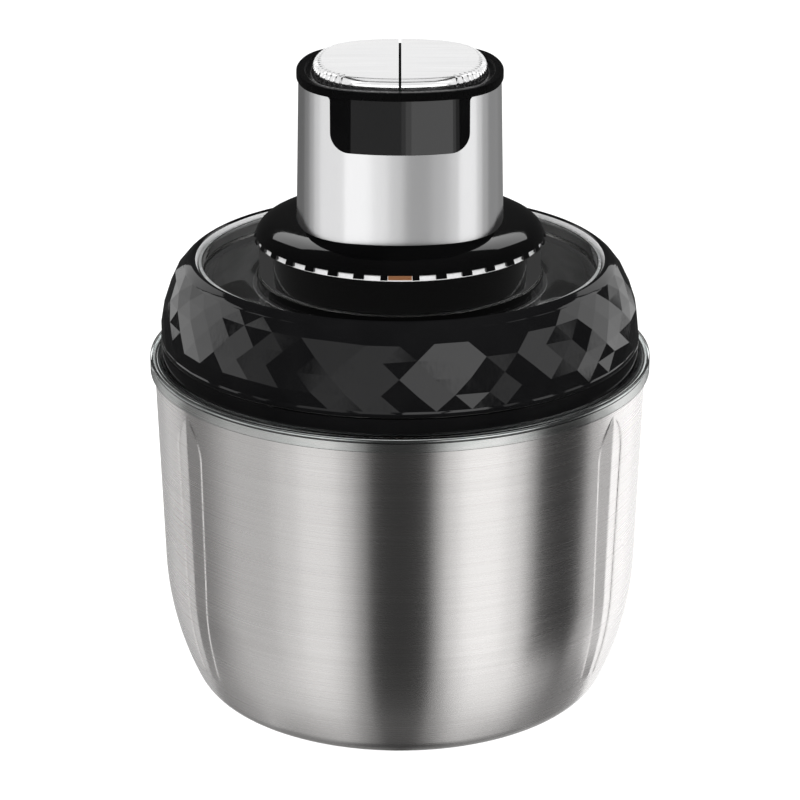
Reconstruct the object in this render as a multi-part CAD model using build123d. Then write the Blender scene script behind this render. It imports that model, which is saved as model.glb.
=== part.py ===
from build123d import *
from math import acos, cos, pi, radians, sin, tan
import os

# Ice cream maker: a steel freezer bowl, a clear lid under a black collar, a press-top motor head
# that drops into the lid's socket, and a dasher that turns on the bowl's centre pin.
# Millimetres. +Z is up, the origin is the centre of the footprint, the front faces -Y.

# Bowl
shell_wall = 0.8
shell_top_z = 139.6
base_gap = 1.2
base_flat_r = 72.8
base_corner_r = 13.0
belly_r = 125.0
belly_end_angle = radians(24.5)
wall_slope = radians(1.75)
base_recess_r = 68.0
base_recess = 2.3
foot_r = 66.5
foot_inner_r = 59.0
gel_top_z = 131.0
liner_wall = 0.8
liner_floor_z = 16.0
liner_ledge_z = 137.0
liner_ledge_r = 92.3
liner_neck_r = 97.5
liner_top_z = 140.9
bead_major_r = 97.7
bead_minor_r = 0.9
bead_z = 140.6
pin_r = 4.0
pin_top_z = 36.0

# Leaf panels pressed into the shell, each with a crest down its middle
leaf_angles = (-33.0, 90.0, 213.0)
leaf_sink = 0.5
leaf_slope = radians(7.0)
leaf_apex_z = 134.0
leaf_half_widths = ((117.0, 9.1), (63.0, 7.8), (31.0, 6.6))
leaf_tip_z = 19.0
leaf_tip_half = 5.4

# Lid
lid_wall = 1.6
lid_rim_r = 100.0
lid_rim_low_z = 136.6
lid_rim_top_z = 142.6
lid_floor_z = 138.9
lid_plate_z = 175.4
lid_lip_z = 180.6
lid_lip_r = 79.8
neck_top_r = 55.8
neck_top_z = 191.4
socket_low_r = 55.2
socket_low_z = 152.0
drive_hole_r = 9.0
collar_r = 95.4
collar_inner_r = 80.2
collar_low_z = 139.9
collar_groove_z = 148.0
collar_wall = 2.2
collar_crest_z = 183.4

# Head
case_r = 53.3
case_wall = 2.4
case_low_z = 154.3
case_top_z = 193.3
deck_low_z = 190.5
deck_screw_circle_r = 46.0
deck_screw_r = 1.5
bracket_low_z = 239.0
bracket_top_z = 241.5
bracket_screw_circle_r = 30.0
bracket_screw_r = 1.2
skirt_edge_r = 57.8
skirt_edge_z = 190.0
skirt_wall = 1.2
vent_count = 34
vent_width = 6.4
vent_height = 1.8
front_vent_width = 9.4
sleeve_low_z = 197.8
sleeve_top_z = 255.0
sleeve_low_half = 40.8
sleeve_top_half = 39.5
sleeve_wall = 1.0
side_bulge = 1.594
corner_ratio = 0.68
chassis_half = 38.0
chassis_wall = 2.0
cord_z = 208.0
cord_hole_r = 3.4
gland_clamp_r = 5.0
window_half = 26.6
window_low_z = 234.0
window_corner_r = 7.0
bezel_half = 40.3
bezel_top_z = 258.2
button_half = 33.9
button_top_z = 262.0
button_low_z = 250.5
button_gap = 1.0
cap_shoulder_r = 1.4
button_travel = 3.0
cap_skin = 1.0
slider_wall = 1.5
slider_top_z = button_top_z - cap_skin
slider_plate_z = slider_top_z - 2.0
key_x = 17.0
switch_y = -10.0
switch_top_z = 251.0
plunger_r = 1.2
plunger_low_z = 250.4
plunger_top_z = 254.2
spring_y = 14.0
spring_r = 3.6
spring_wire_r = 0.35
spring_pitch = 2.0
board_low_z = 245.0
board_top_z = 246.6

# Motor and gears
gear_module = 0.8
pinion_teeth = 12
wheel_teeth = 48
idler_pinion_teeth = 14
output_teeth = 46
wheel_low_z = 176.6
wheel_top_z = 183.4
pressure_angle = radians(20)
idler_offset = gear_module * (pinion_teeth + wheel_teeth) / 2
idler_pin_r = 2.0
spindle_r = 7.5
spindle_low_z = 149.8
coupling_r = 6.2
coupling_top_z = 165.0
output_bearing_r = 10.5
shaft_r = 3.0
running_gap = 0.05
rotor_r = 16.0
stator_r = 33.0
stator_low_z = 206.0
stator_top_z = 230.0

# Stirring
dasher_reach = 80.6
dasher_low_z = 20.0
dasher_top_z = 112.0
dasher_thick = 5.0
dasher_hub_r = 9.0
dasher_shaft_r = 5.5
hex_flats = 8.0
shaft_top_z = 163.5


def ring(outer_r, inner_r, low_z, top_z):
    """A round tube or washer about the Z axis."""
    height = top_z - low_z
    low = (Align.CENTER, Align.CENTER, Align.MIN)
    body = Cylinder(outer_r, height, align=low)
    if inner_r > 0:
        body -= Cylinder(inner_r, height, align=low)
    return Pos(0, 0, low_z) * body


def turned(points):
    """A solid of revolution from (radius, height) points."""
    return revolve(Plane.XZ * make_face(Polyline(points, close=True)), Axis.Z)


def block(low, high):
    """A box from its lowest to its highest corner."""
    size = [b - a for a, b in zip(low, high)]
    middle = [(a + b) / 2 for a, b in zip(low, high)]
    return Pos(*middle) * Box(*size)


def squircle(half, inset=0.0):
    """A soft square: four shallow arcs for the sides, joined by round corners."""
    side_r = side_bulge * half - inset
    offset = side_r - (half - inset)
    shape = Pos(offset, 0) * Circle(side_r) & Pos(-offset, 0) * Circle(side_r)
    shape &= Pos(0, offset) * Circle(side_r) & Pos(0, -offset) * Circle(side_r)
    return fillet(shape.vertices(), corner_ratio * half - inset)


def squircle_block(half, low_z, top_z, inset=0.0):
    """A straight block with the soft square section."""
    return Pos(0, 0, low_z) * extrude(squircle(half, inset), top_z - low_z)


def around(shape, count, first=0.0):
    """Copies of a shape, evenly spaced about the Z axis."""
    return [Rot(0, 0, first + 360 * i / count) * shape for i in range(count)]


# Bowl

def bowl_edges(inset):
    """The outside edge of the shell from the base to the rim, moved inwards by the inset."""
    corner = (base_flat_r, base_gap + base_corner_r)
    lever = base_corner_r - belly_r
    belly = (corner[0] + lever * cos(belly_end_angle), corner[1] - lever * sin(belly_end_angle))

    def on_arc(centre, radius, angle):
        return centre[0] + radius * cos(angle), centre[1] - radius * sin(angle)

    low = on_arc(corner, base_corner_r - inset, pi / 2)
    corner_mid = on_arc(corner, base_corner_r - inset, (pi / 2 + belly_end_angle) / 2)
    belly_low = on_arc(corner, base_corner_r - inset, belly_end_angle)
    belly_mid = on_arc(belly, belly_r - inset, (belly_end_angle + wall_slope) / 2)
    belly_top = on_arc(belly, belly_r - inset, wall_slope)
    top = (belly_top[0] + (shell_top_z - belly_top[1]) * tan(wall_slope), shell_top_z)
    edges = ThreePointArc(low, corner_mid, belly_low) + ThreePointArc(belly_low, belly_mid, belly_top)
    return low, edges + Line(belly_top, top)


def bowl_profile(inset):
    """Filled half section of the shell's outside, or of a surface inside it by the inset."""
    low, edges = bowl_edges(inset)
    top = edges @ 1
    edges += Polyline(top, (0, shell_top_z), (0, low[1]), low)
    return Plane.XZ * make_face(edges)


def bowl_outline(inset):
    return revolve(bowl_profile(inset), Axis.Z)


def leaf_cutters(inset):
    """What the leaf panels take off a surface inside the shell by the inset."""
    right = [(half, z) for z, half in leaf_half_widths]
    tip = (leaf_tip_half, leaf_tip_z)
    side = Spline((0, leaf_apex_z), *right, tip)
    other = Spline((0, leaf_apex_z), *[(-half, z) for half, z in right], (-tip[0], tip[1]))
    outline = make_face(side + Line(tip, (-tip[0], tip[1])) + other)
    leaf = extrude(Plane.YZ * outline, 120)
    core = bowl_profile(inset + leaf_sink).face()
    reach = 14.0
    for way in (-1, 1):
        leaf -= Solid.extrude(core, Vector(-reach * tan(leaf_slope), way * reach, 0))
    return [Rot(0, 0, angle) * leaf for angle in leaf_angles]


def make_outer_shell():
    shell = bowl_outline(0)
    for cutter in leaf_cutters(0):
        shell -= cutter
    cavity = bowl_outline(shell_wall) + ring(liner_neck_r + 0.05, 0, shell_top_z - 8, shell_top_z + 1)
    for cutter in leaf_cutters(shell_wall):
        cavity -= cutter
    shell -= cavity
    low = base_gap + base_recess
    shell -= ring(base_recess_r, 0, 0, low)
    shell += ring(base_recess_r + shell_wall, base_recess_r, base_gap, low + shell_wall)
    shell += ring(base_recess_r + shell_wall, 0, low, low + shell_wall)
    return shell - ring(6.0, 0, 0, 10)


def liner_outline(wall):
    """Filled outline of the liner's outside, or of its cavity when the wall is taken off."""
    floor = liner_floor_z + wall
    curve_low = (62.0, floor)
    curve_mid = (78.0 - 0.75 * wall, 22.4 + 0.7 * wall)
    curve_top = (84.2 - wall, 38.0)
    edges = Line((0, floor), curve_low) + ThreePointArc(curve_low, curve_mid, curve_top)
    edges += Polyline(
        curve_top,
        (87.9 - wall, 118.0),
        (liner_ledge_r - wall, liner_ledge_z + wall),
        (liner_neck_r - 0.75 * wall, liner_ledge_z + wall),
        (liner_neck_r - 0.75 * wall, liner_top_z),
        (0, liner_top_z),
        (0, floor),
    )
    return revolve(Plane.XZ * make_face(edges), Axis.Z)


def make_inner_liner():
    liner = liner_outline(0) - liner_outline(liner_wall)
    return liner + Pos(0, 0, bead_z) * Torus(bead_major_r, bead_minor_r)


def make_coolant_charge():
    gel = bowl_outline(shell_wall) - liner_outline(0)
    for cutter in leaf_cutters(shell_wall):
        gel -= cutter
    gel -= ring(120, 0, gel_top_z, 200)
    low = base_gap + base_recess + shell_wall
    gel -= ring(base_recess_r + shell_wall, 0, 0, low)
    return gel - ring(6.0, 0, 0, 9.0)


def make_foot_ring():
    foot = ring(foot_r, foot_inner_r, 0, base_gap + base_recess)
    return chamfer(foot.edges().group_by(Axis.Z)[0], 0.6)


def make_filler_plug():
    low = base_gap + base_recess
    return ring(8.5, 0, low - 1.5, low) + ring(6.0, 0, low, 9.0)


def make_pivot_pin():
    floor = liner_floor_z + liner_wall
    pin = ring(pin_r, 0, floor, pin_top_z) + ring(9.0, 0, floor, floor + 1.6)
    return chamfer(pin.edges().group_by(Axis.Z)[-1], 0.8)


# Lid

def make_clear_lid():
    wall_low_r = 91.6
    points = [
        (lid_rim_r - 0.9, lid_rim_low_z),
        (lid_rim_r, lid_rim_low_z),
        (lid_rim_r, lid_rim_top_z),
        (95.5, lid_rim_top_z),
        (95.5, lid_floor_z + 1.0),
        (wall_low_r, lid_floor_z + 1.0),
        (lid_lip_r, lid_plate_z - 2),
        (lid_lip_r, lid_lip_z),
        (lid_lip_r - 1.4, lid_lip_z),
        (lid_lip_r - 1.4, lid_plate_z),
        (neck_top_r, lid_plate_z),
        (neck_top_r, neck_top_z),
        (neck_top_r - lid_wall, neck_top_z),
        (socket_low_r - lid_wall, socket_low_z + lid_wall),
        (drive_hole_r, socket_low_z + lid_wall),
        (drive_hole_r, socket_low_z),
        (socket_low_r, socket_low_z),
        (neck_top_r - 0.5, lid_plate_z - lid_wall),
        (lid_lip_r - 2.2, lid_plate_z - lid_wall),
        (wall_low_r - 1.6, lid_floor_z),
        (96.4, lid_floor_z),
        (96.4, lid_rim_top_z - 0.8),
        (lid_rim_r - 0.9, lid_rim_top_z - 0.8),
    ]
    return turned(points)


def collar_curve(inset):
    """Outer edge of the dome's section, or the same curve moved inwards by the inset."""
    centre_r = 78.0
    low_z = collar_groove_z + 0.6
    wide = collar_r - centre_r - inset
    tall = collar_crest_z - low_z - inset
    turns = [radians(a) for a in (0, 20, 40, 58, 76)]
    return [(centre_r + wide * cos(a), low_z + tall * sin(a)) for a in turns]


def make_faceted_collar():
    outer = collar_curve(0)
    inner = collar_curve(collar_wall)
    lip = (collar_inner_r, outer[-1][1] - 2.4)
    edges = Spline(*outer) + Line(outer[-1], lip)
    edges += Line(lip, (collar_inner_r, inner[-1][1] - 1.5))
    edges += Line((collar_inner_r, inner[-1][1] - 1.5), inner[-1])
    edges += Spline(*reversed(inner)) + Line(inner[0], outer[0])
    return revolve(Plane.XZ * make_face(edges), Axis.Z)


def make_collar_band():
    band = ring(collar_r - 0.1, collar_r - 2.6, collar_low_z, collar_groove_z)
    return band + ring(collar_r - 2.6, collar_r - 3.7, collar_low_z, collar_groove_z + 3)


def make_lid_gasket():
    return ring(96.2, 92.0, liner_ledge_z + liner_wall, lid_floor_z)


def make_shaft_seal():
    seal = ring(drive_hole_r, 8.1, socket_low_z, socket_low_z + lid_wall)
    return seal + ring(11.0, 8.1, socket_low_z - 0.8, socket_low_z)


# Head

def make_gearbox_case():
    case = ring(case_r, case_r - case_wall, case_low_z, case_top_z)
    case += ring(case_r, 0, case_low_z, case_low_z + 2.5)
    case += ring(54.9, case_r - case_wall, neck_top_z + 0.1, case_top_z)
    case += ring(14.0, 0, case_low_z, case_low_z + 5.2)
    case -= ring(case_r - 1.0, case_r - case_wall, deck_low_z, case_top_z)
    boss = ring(4.0, 0, case_low_z + 1, deck_low_z)
    thread = ring(deck_screw_r, 0, deck_low_z - 12, deck_low_z)
    for piece in around(Pos(deck_screw_circle_r, 0, 0) * boss, 4, 45):
        case += piece
    for piece in around(Pos(deck_screw_circle_r, 0, 0) * thread, 4, 45):
        case -= piece
    socket = ring(4.0, 0, case_low_z + 1, case_low_z + 4)
    for piece in around(Pos(idler_offset, 0, 0) * socket, 2):
        case += piece
    for piece in around(Pos(idler_offset, 0, 0) * ring(idler_pin_r, 0, case_low_z + 1, case_low_z + 4), 2):
        case -= piece
    return case - ring(output_bearing_r, 0, case_low_z - 1, case_low_z + 6)


def make_vent_skirt():
    """A bell from the soft square of the sleeve to a round, castellated edge."""
    outer = [(44.0, 198.6), (50.0, 197.8), (54.8, 195.6), (57.2, 192.6), (skirt_edge_r, skirt_edge_z)]
    inner = [(skirt_edge_r - skirt_wall, skirt_edge_z), (56.3, 192.0), (53.9, 194.6), (49.6, 196.5), (44.0, 197.3)]
    edges = Line((20, 198.6), outer[0]) + Spline(*outer) + Line(outer[-1], inner[0])
    edges += Spline(*inner) + Line(inner[-1], (20, 197.3)) + Line((20, 197.3), (20, 198.6))
    skirt = revolve(Plane.XZ * make_face(edges), Axis.Z)
    skirt -= squircle_block(chassis_half + 0.1, 190, 200)
    skirt -= squircle_block(sleeve_low_half + 0.1, sleeve_low_z, 200)
    vent = block((50, -vent_width / 2, skirt_edge_z - 1), (62, vent_width / 2, skirt_edge_z + vent_height))
    for piece in around(vent, vent_count, -90):
        skirt -= piece
    half = front_vent_width / 2
    return skirt - block((-half, -62, skirt_edge_z - 1), (half, -50, skirt_edge_z + vent_height))


def make_interlock_contact():
    """A copper leaf in the front slot of the skirt, which feels that the head sits on the lid."""
    half = front_vent_width / 2 - 0.2
    return block((-half, -57.3, skirt_edge_z + 0.1), (half, -56.5, skirt_edge_z + vent_height))


def make_gear_deck():
    deck = ring(case_r - 1.1, 7.0, deck_low_z, case_top_z)
    deck += ring(11.0, 7.0, case_top_z, case_top_z + 2.4)
    clearance = ring(deck_screw_r + 0.1, 0, 180, 200)
    for piece in around(Pos(deck_screw_circle_r, 0, 0) * clearance, 4, 45):
        deck -= piece
    for piece in around(Pos(idler_offset, 0, 0) * ring(idler_pin_r, 0, 180, deck_low_z + 2), 2):
        deck -= piece
    return deck


def make_chassis():
    chassis = squircle_block(chassis_half, case_top_z, bezel_top_z - 7.2)
    chassis -= squircle_block(chassis_half, 190, 260, chassis_wall)
    shelf = squircle_block(chassis_half, board_low_z - 2, board_low_z, 1.0)
    shelf -= squircle_block(chassis_half, 230, 260, 6.0)
    chassis += shelf
    return chassis - gland_hole()


def gland_hole():
    """The round hole for the cord's gland through the back of the head."""
    return Pos(0, chassis_half, cord_z) * Rot(90, 0, 0) * Cylinder(gland_clamp_r + 0.2, 20)


def sleeve_solid(inset, low_z=sleeve_low_z, top_z=sleeve_top_z):
    """The tapered soft square block of the sleeve."""
    low = Pos(0, 0, low_z) * squircle(sleeve_low_half - inset)
    top = Pos(0, 0, top_z) * squircle(sleeve_top_half - inset)
    return loft([low.face(), top.face()], ruled=True)


def window_block(grow):
    """The U-shaped outline of the window, run through the front of the sleeve."""
    half = window_half + grow
    low = window_low_z - grow
    outline = RectangleRounded(2 * half, 60, window_corner_r + grow)
    placed = Plane.XZ * Pos(0, low + 30) * outline
    return Pos(0, -30, 0) * extrude(placed, 20)


def make_steel_sleeve():
    sleeve = sleeve_solid(0) - sleeve_solid(sleeve_wall, sleeve_low_z - 1, sleeve_top_z + 1)
    return sleeve - window_block(0) - gland_hole()


def make_window_panel():
    panel = sleeve_solid(0.15) - sleeve_solid(sleeve_wall, sleeve_low_z - 1, sleeve_top_z + 1)
    return panel & window_block(-0.1)


def make_bezel():
    frame = squircle_block(bezel_half, sleeve_top_z, bezel_top_z)
    frame = chamfer(frame.edges().group_by(Axis.Z)[-1], 0.7)
    guide = squircle_block(chassis_half - chassis_wall - 0.1, bezel_top_z - 7.0, sleeve_top_z)
    step = squircle_block(button_half + 2.4, bezel_top_z - 1.4, bezel_top_z + 1)
    return frame + guide - step - squircle_block(button_half + 0.5, 240, 270)


def make_cord_gland():
    gland = Cylinder(gland_clamp_r, 6.0) + Pos(0, 0, 3.6) * Cylinder(gland_clamp_r + 2, 2.4)
    gland = chamfer(gland.edges().group_by(Axis.Z)[-1], 0.8)
    gland -= Cylinder(cord_hole_r, 30)
    return Pos(0, chassis_half + 1.5, cord_z) * Rot(-90, 0, 0) * gland


# Motor

def make_stator_core():
    core = ring(stator_r, 26.0, stator_low_z, stator_top_z)
    yoke = ring(26.5, rotor_r + 0.6, stator_low_z, stator_top_z)
    for side in (-1, 1):
        wedge = block((-14.5, side * 20 - 14, stator_low_z), (14.5, side * 20 + 14, stator_top_z))
        core += yoke & wedge
    return core


def make_field_windings():
    coils = []
    for side in (-1, 1):
        half = ring(25.4, 17.6, stator_low_z - 2.5, stator_top_z + 2.5)
        low_x, high_x = sorted((side * 15.2, side * 30))
        coils.append(half & block((low_x, -14, 190), (high_x, 14, 240)))
    return Compound(children=[coil.solid() for coil in coils])


def make_upper_bracket():
    bracket = squircle_block(chassis_half, bracket_low_z, bracket_top_z, chassis_wall + 0.1)
    bracket -= ring(6.5, 0, 230, 250)
    clearance = ring(bracket_screw_r + 0.1, 0, 230, 250)
    for piece in around(Pos(bracket_screw_circle_r, 0, 0) * clearance, 4, 45):
        bracket -= piece
    return bracket


def make_brush_holders():
    tube = block((10, -4.2, 232.9), (19, 4.2, 239.0)) - block((5, -3.1, 233.9), (22, 3.1, 238.1))
    return Compound(children=[piece.solid() for piece in around(tube, 2)])


def make_carbon_brushes():
    brush = block((7.4, -3.0, 234.0), (17, 3.0, 238.0))
    return Compound(children=[piece.solid() for piece in around(brush, 2)])


def make_rotor_windings():
    low = ring(13.0, shaft_r, stator_low_z - 1.8, stator_low_z + 1)
    top = ring(13.0, shaft_r, stator_top_z - 1, stator_top_z + 2.4)
    return Compound(children=[low.solid(), top.solid()])


def make_cooling_fan():
    fan = ring(28.0, shaft_r, 198.0, 199.4) + ring(8.0, shaft_r, 198.0, 203.0)
    for blade in around(block((7.5, -0.6, 199.0), (28, 0.6, 202.6)), 10):
        fan += blade
    return fan & ring(28.0, shaft_r, 190, 210)


def involute(angle):
    return tan(angle) - angle


def gear(teeth, low_z, top_z, bore_r, tip=0.78, turn=0.0):
    """A spur gear with straight-line flanks through three points of the involute."""
    pitch_r = gear_module * teeth / 2
    base_r = pitch_r * cos(pressure_angle)
    root_r = pitch_r - 1.2 * gear_module
    tip_r = pitch_r + tip * gear_module
    half_tooth = pi / (2 * teeth) - 0.05 / pitch_r

    def half_angle(radius):
        slope = acos(min(1.0, base_r / radius))
        return half_tooth + involute(pressure_angle) - involute(slope)

    points = []
    for i in range(teeth):
        middle = 2 * pi * i / teeth + turn
        for radius, side in ((root_r, -1), (pitch_r, -1), (tip_r, -1), (tip_r, 1), (pitch_r, 1), (root_r, 1)):
            angle = middle + side * half_angle(radius)
            points.append((radius * cos(angle), radius * sin(angle)))
    face = make_face(Polyline(points, close=True)) - Circle(bore_r)
    return Pos(0, 0, low_z) * extrude(face, top_z - low_z)


def make_idler_pins():
    pin = ring(idler_pin_r, 0, case_low_z + 1, deck_low_z + 2)
    pins = around(Pos(idler_offset, 0, 0) * pin, 2)
    return Compound(children=[pin.solid() for pin in pins])


def idler_parts(side):
    """Wheel and pinion of one idler, pressed together on a sleeve that turns on its pin."""
    bore = idler_pin_r + running_gap
    wheel = gear(wheel_teeth, wheel_low_z, wheel_top_z, 4.0, turn=pi / wheel_teeth)
    pinion = gear(idler_pinion_teeth, 160.6, wheel_low_z, bore, turn=pi / idler_pinion_teeth)
    pinion += ring(4.0, bore, wheel_low_z, wheel_top_z + 1)
    place = Rot(0, 0, 0 if side > 0 else 180) * Pos(idler_offset, 0, 0) * Rot(0, 0, 180)
    return place * wheel, place * pinion


def make_output_gear():
    return gear(output_teeth, 161.0, 168.0, spindle_r)


def make_output_spindle():
    spindle = ring(spindle_r, coupling_r, spindle_low_z, coupling_top_z)
    spindle += ring(spindle_r, 0, coupling_top_z, 170.0)
    return spindle + ring(9.5, spindle_r - 0.1, 159.7, 161.0)


def hexagon(flats, low_z, top_z):
    """A hexagonal bar about the Z axis."""
    return Pos(0, 0, low_z) * extrude(RegularPolygon(flats / 2, 6, major_radius=False), top_z - low_z)


def make_drive_coupling():
    socket = hexagon(hex_flats + 0.6, spindle_low_z - 1, coupling_top_z + 1)
    return ring(coupling_r, 0, spindle_low_z, coupling_top_z) - socket


# Buttons and switches

def one_side(side, near, low_z, top_z):
    """Everything on one side of the button's middle, from a distance outwards."""
    far = 60
    low_x, high_x = sorted((side * near, side * far))
    return block((low_x, -far, low_z), (high_x, far, top_z))


def make_cap(side):
    """One half of the press button: a bright skin with a round shoulder."""
    cap = squircle_block(button_half, button_low_z, button_top_z)
    cap &= one_side(side, button_gap / 2, button_low_z, button_top_z)
    cap = fillet(cap.edges().group_by(Axis.Z)[-1], cap_shoulder_r)
    hollow = squircle_block(button_half, button_low_z, slider_top_z, cap_skin)
    return cap - (hollow & one_side(side, button_gap / 2 + 0.8, button_low_z, button_top_z))


def make_slider(side):
    """The moulded tub under a cap, with a post for the plunger and a peg inside the spring."""
    tub = squircle_block(button_half, button_low_z + 1, slider_top_z, cap_skin + 0.1)
    tub -= squircle_block(button_half, button_low_z, slider_plate_z, cap_skin + 0.1 + slider_wall)
    tub &= one_side(side, button_gap / 2 + 0.9, button_low_z, button_top_z)
    tub += Pos(side * key_x, switch_y, 0) * ring(2.2, 0, plunger_top_z, slider_plate_z + 0.4)
    return tub + Pos(side * key_x, spring_y, 0) * ring(2.4, 0, slider_plate_z - 2.6, slider_plate_z + 0.4)


def make_plunger(side):
    return Pos(side * key_x, switch_y, 0) * ring(plunger_r, 0, plunger_low_z, plunger_top_z)


def make_switch(side):
    middle = side * key_x
    body = block((middle - 6.4, switch_y - 3, board_top_z), (middle + 6.4, switch_y + 3, switch_top_z))
    well_low_z = plunger_low_z - button_travel - 0.2
    return body - Pos(middle, switch_y, 0) * ring(plunger_r + 0.4, 0, well_low_z, switch_top_z + 1)


def make_spring(side):
    """A coil from the board to the underside of the slider."""
    low_z = board_top_z + spring_wire_r + 0.02
    top_z = slider_plate_z - spring_wire_r - 0.02
    coil = Helix(pitch=spring_pitch, height=top_z - low_z, radius=spring_r)
    wire = Plane(origin=coil @ 0, z_dir=coil % 0) * Circle(spring_wire_r)
    return Pos(side * key_x, spring_y, low_z) * sweep(wire, path=coil, is_frenet=True)


def make_switch_board():
    board = squircle_block(chassis_half, board_low_z, board_top_z, chassis_wall + 0.2)
    return board - ring(4.0, 0, 240, 250)


# Dasher

def make_dasher_shaft():
    shaft = ring(dasher_shaft_r, 0, pin_top_z + 1.5, 148.0) + hexagon(hex_flats, 148.0, shaft_top_z)
    return shaft & turned([(0, 0), (20, 0), (20, 160), (3.4, shaft_top_z), (0, shaft_top_z)])


def make_dasher_frame():
    """A two-armed paddle with windows, on a hub that turns on the bowl's pin."""
    reach = dasher_reach
    low = dasher_low_z
    outline = [(-reach + 12, low), (reach - 12, low), (reach - 1, low + 18), (reach, dasher_top_z)]
    outline += [(reach - 8, dasher_top_z), (reach - 14, dasher_top_z - 12), (10, dasher_top_z - 22)]
    outline += [(-x, z) for x, z in reversed(outline[4:])] + [(-reach, dasher_top_z), (-reach + 1, low + 18)]
    plate = Plane.XZ * make_face(Polyline(outline, close=True))
    frame = extrude(plate, dasher_thick / 2, both=True)
    for side in (-1, 1):
        for middle_x, width in ((24.5, 19.0), (54.5, 23.0)):
            frame -= Pos(side * middle_x, 0, 54.0) * Box(width, 20, 46)
    frame += ring(dasher_hub_r, 0, dasher_low_z - 0.8, dasher_top_z)
    frame -= ring(dasher_shaft_r, 0, pin_top_z + 1.5, 200)
    return frame - ring(pin_r + running_gap, 0, 0, pin_top_z + 1.5)


def make_scraper_blades():
    strip = block((dasher_reach - 4, -1.2, 42), (dasher_reach + 1.6, 1.2, dasher_top_z - 4))
    strip -= block((dasher_reach - 4, -1.2, 42), (dasher_reach, 1.2, dasher_top_z))
    blades = []
    for piece in around(strip, 2):
        blades.append(piece.solid())
    return Compound(children=blades)


# Fasteners

def screw(x, y, head_z, head_r, thread_r, length):
    """A plain machine screw, head up."""
    low = Align.MAX
    head = Pos(x, y, head_z) * Cylinder(head_r, 1.8, align=(Align.CENTER, Align.CENTER, Align.MIN))
    slot = Pos(x, y, head_z + 1.6) * Box(2 * head_r, 0.7, 1.0)
    stem = Pos(x, y, head_z) * Cylinder(thread_r, length, align=(Align.CENTER, Align.CENTER, low))
    return (head - slot + stem).solid()


def screws_on_circle(radius, head_z, head_r, thread_r, length):
    spots = [(radius * cos(radians(a)), radius * sin(radians(a))) for a in (45, 135, 225, 315)]
    return Compound(children=[screw(x, y, head_z, head_r, thread_r, length) for x, y in spots])


def make_parts():
    left_wheel, left_pinion = idler_parts(-1)
    right_wheel, right_pinion = idler_parts(1)
    parts = {
        "outer_shell": make_outer_shell(),
        "inner_liner": make_inner_liner(),
        "coolant_charge": make_coolant_charge(),
        "foot_ring": make_foot_ring(),
        "filler_plug": make_filler_plug(),
        "pivot_pin": make_pivot_pin(),
        "clear_lid": make_clear_lid(),
        "faceted_collar": make_faceted_collar(),
        "collar_band": make_collar_band(),
        "lid_gasket": make_lid_gasket(),
        "shaft_seal": make_shaft_seal(),
        "gearbox_case": make_gearbox_case(),
        "vent_skirt": make_vent_skirt(),
        "interlock_contact": make_interlock_contact(),
        "gear_deck": make_gear_deck(),
        "chassis": make_chassis(),
        "steel_sleeve": make_steel_sleeve(),
        "window_panel": make_window_panel(),
        "bezel": make_bezel(),
        "cord_gland": make_cord_gland(),
        "stator_core": make_stator_core(),
        "field_windings": make_field_windings(),
        "upper_bracket": make_upper_bracket(),
        "upper_bearing": ring(6.5, shaft_r + running_gap, bracket_low_z, bracket_top_z + 0.5),
        "lower_bearing": ring(7.0, shaft_r + running_gap, deck_low_z, case_top_z + 2.4),
        "output_bearing": ring(output_bearing_r, spindle_r + running_gap, case_low_z, case_low_z + 5.2),
        "brush_holders": make_brush_holders(),
        "carbon_brushes": make_carbon_brushes(),
        "idler_pins": make_idler_pins(),
        "switch_board": make_switch_board(),
        "left_switch": make_switch(-1),
        "right_switch": make_switch(1),
        "deck_screws": screws_on_circle(deck_screw_circle_r, case_top_z, 3.0, deck_screw_r, 12.0),
        "bracket_screws": screws_on_circle(bracket_screw_circle_r, bracket_top_z, 2.4, bracket_screw_r, 8.0),
        "left_spring": make_spring(-1),
        "right_spring": make_spring(1),
        "left_cap": make_cap(-1),
        "right_cap": make_cap(1),
        "left_slider": make_slider(-1),
        "right_slider": make_slider(1),
        "left_plunger": make_plunger(-1),
        "right_plunger": make_plunger(1),
        "motor_shaft": ring(shaft_r, 0, 175.0, 244.0),
        "rotor_core": ring(rotor_r, shaft_r, stator_low_z + 1, stator_top_z - 1),
        "rotor_windings": make_rotor_windings(),
        "commutator": ring(7.0, shaft_r, 233.2, 238.2),
        "cooling_fan": make_cooling_fan(),
        "motor_pinion": gear(pinion_teeth, 176.0, 184.0, shaft_r),
        "left_idler_wheel": left_wheel,
        "left_idler_pinion": left_pinion,
        "right_idler_wheel": right_wheel,
        "right_idler_pinion": right_pinion,
        "output_gear": make_output_gear(),
        "output_spindle": make_output_spindle(),
        "drive_coupling": make_drive_coupling(),
        "dasher_shaft": make_dasher_shaft(),
        "dasher_frame": make_dasher_frame(),
        "scraper_blades": make_scraper_blades(),
    }
    return parts


os.makedirs("parts", exist_ok=True)
for name, shape in make_parts().items():
    export_step(shape, f"parts/{name}.step")
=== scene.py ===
import math
import random

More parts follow.
